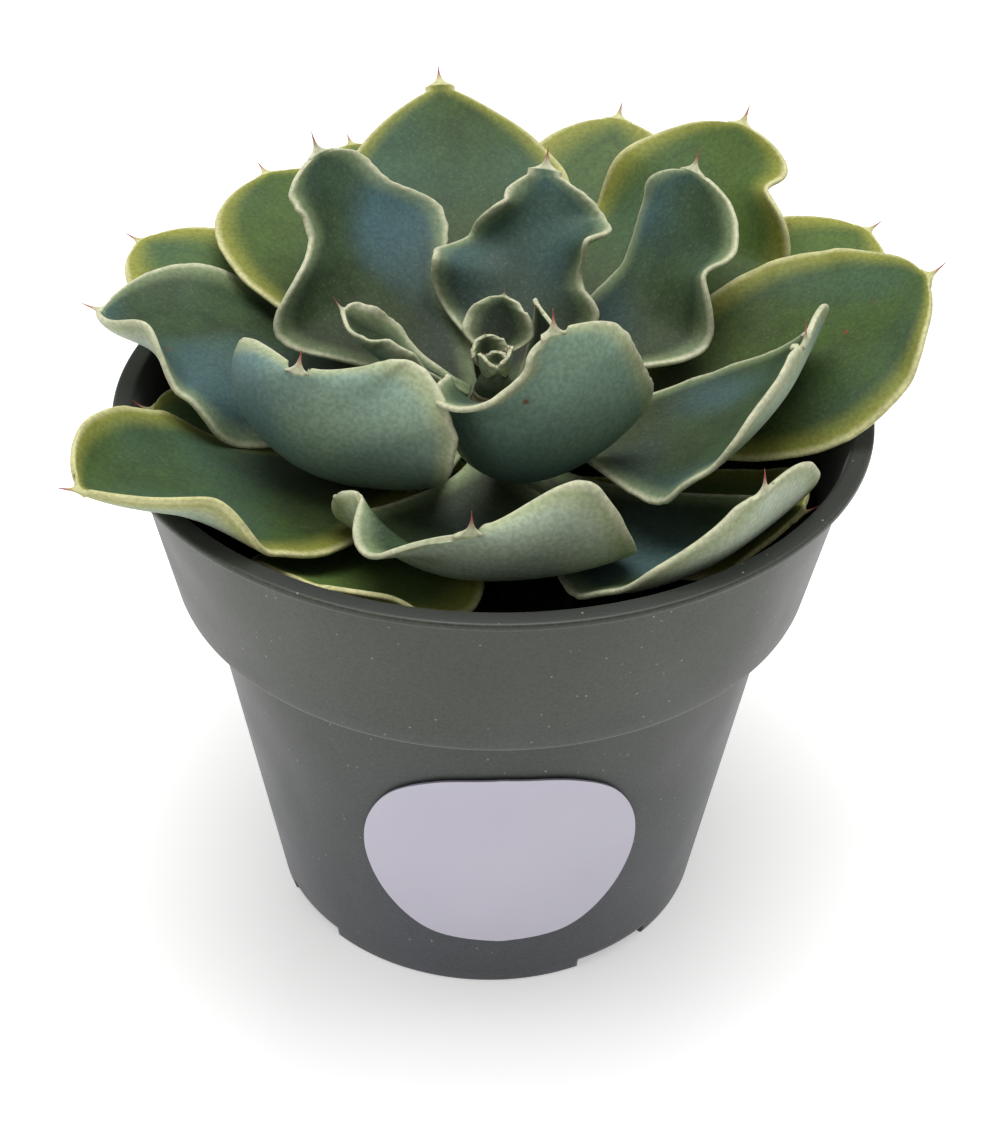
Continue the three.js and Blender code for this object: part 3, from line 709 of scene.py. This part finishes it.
# %% [markdown]
# ## The leaves
# The leaves stand in a spiral, each 137.5 degrees round from the one before, so no two shade each
# other for long. A leaf here is a midrib that rises by three angles, an outline that swells and
# closes, and margins that turn up or down by their own angles at five stations, which makes the
# waves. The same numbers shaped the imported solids. Now the grid is finer, the margin is round
# instead of square, young margins are a little ragged, and the sharp point flares out of the tip.
# Sculpting each leaf would be freer but would drift from the solids.

# %% The spiral and the table of leaves
GOLDEN_ANGLE = 137.5
SPIRAL_START = 295
ROOT_TOP = 119
ROOT_DROP = 2.3
ROOT_DROP_POWER = 0.66
ROOT_LEAN = 1.2
HEART_HEIGHT = 5
HEART_TOP_RADIUS = 2
STATIONS = [0, 0.3, 0.5, 0.68, 0.84, 0.95, 1]

# Youngest first. rank: place in the spiral; swing: degrees off its azimuth; size: length and width
# in mm; rise: degrees above level at root, middle and tip; left, right: how far each margin turns up
# at the five inner stations; bend, twist: turns of the tip; widest, point: outline; ahead: mm that
# the right and the left margin run ahead of the tip; notches: see half_width. The places -3, 13 and
# 21 of the spiral hold no leaf here.
LEAVES = [
    dict(rank=-4, swing=-20, bend=-20, size=(14, 15), rise=(36, 58, 80), left=(10, 20, 15, 20, 0),
         right=(20, 25, 30, 30, 0), widest=0.5),
    dict(rank=-2, swing=0, size=(18, 18), rise=(45, 66, 130), left=(0, -10, -10, -10, 0),
         right=(0, 30, 30, 20, 0), widest=0.7),
    dict(rank=-1, swing=14, size=(30, 22), rise=(26, 28, 52), left=(60, 80, 80, 50, 30),
         right=(10, 20, 40, 60, 40),
         notches=[('right', 0.4, 0.3, 0.5), ('right', 0.85, 0.2, 0.4), ('left', 0.42, 0.18, -0.4)]),
    dict(rank=0, swing=-7, size=(56, 51), rise=(-38, 62, 96), left=(25, 30, 28, 30, 40),
         right=(40, 80, 100, -30, -60),
         notches=[('right', 0.9, 0.11, 0.55), ('left', 0.82, 0.2, 0.2)], ahead=(0, 2.5)),
    dict(rank=1, swing=3, size=(48, 43), rise=(27, 44, 63), left=(10, 60, -25, 80, 20),
         right=(0, 35, 85, 0, 10), notches=[('left', 0.82, 0.16, 0.4), ('right', 0.53, 0.12, 0.4)],
         point=0.8, widest=0.52),
    dict(rank=2, swing=10.5, bend=-8, twist=50, size=(59, 61), rise=(-25, 34.5, 103),
         left=(10, 5, 15, 40, 30), right=(40, 60, 90, 93, 90),
         notches=[('right', 0.45, 0.2, 0.2), ('left', 0.86, 0.1, 0.12)], ahead=(3, 8)),
    dict(rank=3, swing=-8, size=(68, 54), rise=(14, 21, 87), left=(0, 2, 0, 0, 5),
         right=(-5, -10, 10, 20, 20), notches=[('right', 0.94, 0.1, 0.5)], ahead=(7, 5)),
    dict(rank=4, swing=5, bend=12, size=(62, 54), rise=(27, 38, 62), left=(-10, -15, 20, 20, 10),
         right=(20, 20, 20, 30, 20),
         notches=[('left', 0.78, 0.15, 0.45), ('left', 0.5, 0.12, -0.1),
                  ('right', 0.42, 0.22, 0.53), ('right', 0.85, 0.15, 0.42)], point=0.55,
         widest=0.56),
    dict(rank=5, swing=4, size=(60, 60), rise=(-3, 7, 88), left=(20, 15, 20, 55, 55),
         right=(20, 25, 50, 60, -20), ahead=(0, 12)),
    dict(rank=6, swing=5, bend=4, size=(65, 44), rise=(20, 32, 65), left=(0, -25, -45, -45, -20),
         right=(15, 0, 55, 20, 10),
         notches=[('left', 0.62, 0.28, 0.6), ('right', 0.42, 0.16, -0.3)]),
    dict(rank=7, swing=-8, size=(76, 50), rise=(10, 16, 11), left=(-34, -36, 16, 70, 55),
         right=(-5, -8, 5, 20, 20)),
    dict(rank=8, swing=-5, bend=10, size=(75, 50), rise=(-4, 12, 88), left=(7, 8, 0, 5, 10),
         right=(-5, 0, 15, 20, 20), notches=[('right', 0.93, 0.1, 0.45)], ahead=(4, 4)),
    dict(rank=9, swing=7, size=(83, 52), rise=(20, 29, 45), left=(15, 20, 10, -20, -20),
         right=(10, 20, 10, -10, -20), point=0.8),
    dict(rank=10, swing=-17, size=(83, 52), rise=(-5, 18.5, 19), left=(-8, 0, 6, 50, 45),
         right=(5, -2, 18, 28, 35)),
    dict(rank=11, swing=-1, size=(86, 55), rise=(11, 24, 39), left=(30, 30, 25, 14, 0),
         right=(-10, -20, -25, -20, 0)),
    dict(rank=12, swing=-18, size=(81, 50), rise=(20, 20, 14), left=(15, 20, 15, 10, 0),
         right=(0, 5, 10, 10, 0)),
    dict(rank=14, swing=-9, size=(88, 53), rise=(12, 28.5, 51), left=(10, 10, -20, 10, 0),
         right=(-14, -10, -6, 45, 10), notches=[('right', 0.86, 0.05, 0.22)]),
    dict(rank=15, swing=-12, size=(61, 40), rise=(-3, 12, 34), left=(0, -5, -5, 0, 0),
         right=(-10, -15, -10, 0, 0)),
    dict(rank=16, swing=-4, size=(59, 42), rise=(-4, 8, 36), left=(0, 0, 0, 10, 0),
         right=(-10, -10, 0, -10, 0)),
    dict(rank=17, swing=-2, size=(91, 48), rise=(16, 18, 11), left=(5, 10, 10, 0, 0),
         right=(10, 10, 10, 0, 0)),
    dict(rank=18, swing=-9, size=(59, 46), rise=(0, 10, 38), left=(10, 10, 0, 0, 20),
         right=(10, 10, -15, -15, 0)),
    dict(rank=19, swing=5, size=(90, 48), rise=(8.5, 22, 12.5), left=(-12, -18, -4, 0, 0),
         right=(10, 10, 0, 0, 0)),
    dict(rank=20, swing=-17, size=(85, 41), rise=(14, 21, 4), left=(0, -10, -12, -8, 0),
         right=(-15, -25, -14, 0, 0)),
    dict(rank=22, swing=-7, size=(92, 46), rise=(10, 24, 36), left=(-10, -12, -5, 0, 0),
         right=(0, 18, 16, 0, 0)),
]
print("leaves:", len(LEAVES))


# %% Where a leaf starts, and its midrib
LEAF_ROOT_THICKNESS = 2.3
LEAF_BODY_THICKNESS = 3
LEAF_TIP_THICKNESS = 1.3
MARGIN_THICKNESS = 1
LEAST_THICKNESS = 0.8
MARGIN_ROUNDING = 0.55       # how far in from the margin its rounding reaches
FULL_LENGTH = 40             # a leaf shorter than this is thinner and less ragged, in step with its length
MIDRIB_STEPS = 120


def through_three(values, t):
    """The curve through three values at the start, the middle and the end."""
    start, middle, end = values
    return start * (1 - t) * (1 - 2 * t) + 4 * middle * t * (1 - t) + end * t * (2 * t - 1)


def core_radius(z):
    """Radius of the stem, and of the growing point above it, at a height."""
    heights = [SOIL_TOP, STEM_TOP, STEM_TOP + HEART_HEIGHT]
    return float(np.interp(z, heights, [STEM_LOW_RADIUS, STEM_TOP_RADIUS, HEART_TOP_RADIUS]))


def leaf_root(rank, azimuth, pitch):
    """The point where a leaf's root face just clears the stem."""
    drop = ROOT_DROP * (rank / 2 if rank < 0 else rank ** ROOT_DROP_POWER)
    z = ROOT_TOP - drop + ROOT_LEAN * math.sin(azimuth)
    lower = core_radius(z - LEAF_ROOT_THICKNESS * math.cos(pitch)) - LEAF_ROOT_THICKNESS * math.sin(pitch)
    return polar(max(core_radius(z), lower) + GAP, azimuth, z)


def midrib(leaf, t):
    """Points of the midrib at the shares t of its length, with the directions along, left and up."""
    steps = np.linspace(0, 1, MIDRIB_STEPS + 1)
    azimuth = math.radians(SPIRAL_START + GOLDEN_ANGLE * leaf["rank"] + leaf["swing"])

    def direction(share):
        pitch = np.radians(through_three(leaf["rise"], share))
        heading = azimuth + math.radians(leaf.get("bend", 0)) * share ** 1.6
        return polar(np.cos(pitch), heading, np.sin(pitch)), polar(1.0, heading + math.pi / 2, 0 * share)

    walked = np.cumsum(direction(steps)[0][:-1], axis=0) * leaf["size"][0] / MIDRIB_STEPS
    root = leaf_root(leaf["rank"], azimuth, math.radians(leaf["rise"][0]))
    line = root + np.vstack([[0, 0, 0], walked])
    points = np.stack([np.interp(t, steps, line[:, i]) for i in range(3)], -1)
    along, level = direction(t)
    roll = np.radians(leaf.get("twist", 0) * t)[:, None]
    left = level * np.cos(roll) + np.cross(along, level) * np.sin(roll)
    return points, along, left, np.cross(along, left)


# %% The leaf's outline, its waves and its thickness
ROOT_WIDTH_SHARE = 0.13
TIP_HALF_WIDTH = 3.5         # where the outline starts to flare into the sharp point
SPINE_LENGTH = 5
ROWS, COLUMNS, SPINE_ROWS = 44, 32, 14


def half_width(leaf, t, side="left"):
    """The width of one half of the leaf: it swells from the root, then closes round the tip. A
    notch is a place where that half is narrower, or wider where its depth is below zero: its side,
    where on the leaf, its reach and depth."""
    widest = leaf.get("widest", 0.66)
    swell = np.sin(math.pi / 2 * np.minimum(t / widest, 1)) ** 2
    close = np.maximum(0, (t - widest) / (1 - widest))
    share = mix(ROOT_WIDTH_SHARE, 1, swell) * np.maximum(1 - close ** 2.2, 0) ** leaf.get("point", 0.5)
    for notched, where, reach, depth in leaf.get("notches", []):
        share = share * (1 - depth * np.exp(-((t - where) / reach) ** 2) * (notched == side))
    return np.maximum(leaf["size"][1] / 2 * share, min(TIP_HALF_WIDTH, leaf["size"][1] / 12))


def shoulder(t):
    """How far a margin runs ahead of the midrib, as a share: most of it just before the tip."""
    u = np.clip((t - 0.6) / 0.4, 0, 1)
    return 6.75 * u ** 2 * (1 - u)


def at_stations(values, t):
    """A value that eases from one station to the next."""
    k = np.clip(np.searchsorted(STATIONS, t, side="left") - 1, 0, len(STATIONS) - 2)
    low, high = np.take(STATIONS, k), np.take(STATIONS, k + 1)
    u = (t - low) / (high - low)
    return mix(np.take(values, k), np.take(values, k + 1), u * u * (3 - 2 * u))


def ripple(length, seed, shortest):
    """Even noise along a margin, in -1 to 1: length are distances in mm, shortest the finest wave."""
    return np.array([noise.noise(Vector((d / shortest, seed, 0.5))) for d in length])


def leaf_rings(leaf, seed, ragged):
    """Rings from root to spine tip, and for each point where on the leaf it is."""
    length = leaf["size"][0]
    widest = leaf.get("widest", 0.66)
    closing = widest + (1 - widest) * np.sin(math.pi / 2 * np.linspace(0, 1, ROWS + 1))
    t = np.concatenate([np.linspace(0, widest, ROWS, endpoint=False), closing])
    share = np.sin(math.pi / 2 * np.linspace(-1, 1, COLUMNS + 1))
    points, along, left, up = midrib(leaf, t)
    turns = [np.radians(at_stations([0, *leaf[side], leaf[side][-1]], t)) for side in ("right", "left")]
    plump = min(1, length / FULL_LENGTH)

    upper, edge = [], []
    fraying = np.clip((t - 0.35) / 0.2, 0, 1) * np.clip((1 - t) / 0.04, 0, 1)
    fray = [ragged * fraying * (ripple(t * length, seed + k, 2.6)
                                + 0.6 * ripple(t * length, seed + k + 9, 1.1)) for k in (0, 3)]
    lift = [ragged * fraying * ripple(t * length, seed + k + 20, 4.5) for k in (0, 3)]
    for column in share:
        side = int(column > 0)
        turn = np.where(np.abs(turns[side]) < 1e-3, 1e-3, turns[side])
        half = half_width(leaf, t, ("right", "left")[side]) + fray[side] * abs(column) ** 3
        angle = turn * abs(column)
        out = np.sign(column) * half * np.sin(angle) / turn
        rise = half * (1 - np.cos(angle)) / turn + lift[side] * abs(column) ** 5
        ahead = leaf.get("ahead", (0, 0))[side] * shoulder(t) * abs(column) ** 1.5
        upper.append(points + left * out[:, None] + up * rise[:, None] + along * ahead[:, None])
        edge.append(half * (1 - abs(column)))
    upper = np.stack(upper, 1)
    edge = np.stack(edge, 1)

    normal = np.cross(np.gradient(upper, axis=0), np.gradient(upper, axis=1))
    normal /= np.linalg.norm(normal, axis=2, keepdims=True)
    body = through_three((LEAF_ROOT_THICKNESS, LEAF_BODY_THICKNESS, LEAF_TIP_THICKNESS), t)[:, None]
    thick = np.maximum(LEAST_THICKNESS, plump * mix(MARGIN_THICKNESS, body, 1 - share ** 2))
    rounding = thick / 2 * (1 - np.sqrt(1 - (1 - np.clip(edge / MARGIN_ROUNDING, 0, 1)) ** 2))
    lower = upper - normal * (thick - rounding)[..., None]
    upper = upper - normal * rounding[..., None]

    base = (upper[-1, COLUMNS // 2] + lower[-1, COLUMNS // 2]) / 2
    spine_upper, spine_lower = [], []
    tip_half = half_width(leaf, np.array([1.0]))[0]
    round_off = np.sqrt(1 - share ** 2)
    flat_off = 1 - rounding[-1] * 2 / thick[-1]
    tip_thick = thick[-1, COLUMNS // 2] / 2
    for reach in np.linspace(0, 1, SPINE_ROWS + 1)[1:]:
        middle = base + along[-1] * reach * SPINE_LENGTH * plump + up[-1] * 0.5 * reach ** 2 * plump
        taper = 0.13 * (1 - reach) + 0.87 * math.exp(-6 * reach)
        across = left[-1] * (share * max(tip_half * taper, 0.05))[:, None]
        section = mix(flat_off, round_off, min(1, 3 * reach))
        high = up[-1] * (section * max(tip_thick * taper ** 0.5, 0.05))[:, None]
        spine_upper.append(middle + across + high)
        spine_lower.append(middle + across - high)
    upper = np.concatenate([upper, spine_upper])
    lower = np.concatenate([lower, spine_lower])

    count = len(t) + SPINE_ROWS
    rings = np.concatenate([upper, lower[:, COLUMNS - 1:0:-1]], 1)
    edge = np.concatenate([edge, np.zeros((SPINE_ROWS, COLUMNS + 1))])
    face = np.ones((count, COLUMNS + 1))
    face[:, [0, -1]] = 0.6
    spine = np.concatenate([np.zeros(len(t)), np.linspace(0, 1, SPINE_ROWS + 1)[1:]])
    spine[:len(t)] = np.clip(1 - (1 - t) * length / 1.2, 0, 1) * 0.15
    columns = rings.shape[1]
    return rings, {
        "along": np.repeat(np.concatenate([t, np.ones(SPINE_ROWS)]), columns),
        "edge": np.concatenate([edge, edge[:, COLUMNS - 1:0:-1]], 1),
        "face": np.concatenate([face, np.zeros((count, COLUMNS - 1))], 1),
        "point": np.repeat(spine, columns),
    }


# %% Grow the leaves
YOUNG_LEAVES = 12


def grow_leaf(index, leaf):
    """One leaf, in place of its solid. Young leaves have ragged margins, old ones nearly smooth."""
    age = index / (len(LEAVES) - 1)
    ragged = 0.55 if 2 <= index <= 7 else 0.25 if index < YOUNG_LEAVES else 0.12
    rings, where = leaf_rings(leaf, 10.0 * index, ragged * min(1, leaf["size"][0] / FULL_LENGTH))
    where["age"] = np.full(rings.shape[:2], age)
    young = index < YOUNG_LEAVES
    number = f"leaf_{index + 1:02d}"
    return piece_from_rings(number + "_blade", rings, [number],
                            young_skin if young else old_skin, where)


blades = [grow_leaf(index, leaf) for index, leaf in enumerate(LEAVES)]
print("leaf faces:", sum(len(blade.data.polygons) for blade in blades))

# %% [markdown]
# ## The heart
# At the growing point tiny upright leaves clasp each other. They follow the same rule, a few
# millimetres long, round a blunt cone, and are joined in one piece, since they have not yet parted.

# %% Grow the heart
HEART_LEAVES = 5
HEART_SEGMENTS = 48


def grow_heart():
    """Tiny leaves round a blunt cone, joined in one piece."""
    parts = []
    turns = (40, 50, 55, 40, 0)
    for k in range(HEART_LEAVES):
        leaf = dict(rank=0, swing=GOLDEN_ANGLE * k, size=(3.5 + 1.1 * k, 5 + k), rise=(45, 80, 95),
                    left=turns, right=turns)
        rings, where = leaf_rings(leaf, 300.0 + k, 0.1)
        azimuth = math.radians(SPIRAL_START + leaf["swing"])
        start = leaf_root(0, azimuth, math.radians(45))
        rings = rings + polar(0.6 + 0.2 * k, azimuth, STEM_TOP + 3) - start
        where["age"] = np.zeros(rings.shape[:2])
        parts.append(piece_from_rings(f"heart_leaf_{k}", rings, [], young_skin, where))
    base, top = STEM_TOP + GAP, STEM_TOP + HEART_HEIGHT
    profile = [(0, base), (core_radius(base), base), (HEART_TOP_RADIUS, top), (0, top + 0.6)]
    rings = turned_rings(profile, HEART_SEGMENTS)
    flat = np.zeros((len(profile), HEART_SEGMENTS))
    where = {"along": flat + 0.5, "edge": flat + 3, "face": flat + 1, "point": flat, "age": flat}
    parts.append(piece_from_rings("heart_bud", rings, ["heart"], young_skin, where))
    with bpy.context.temp_override(active_object=parts[-1], selected_editable_objects=parts):
        bpy.ops.object.join()
    return parts[-1]


heart = grow_heart()
print("heart faces:", len(heart.data.polygons))
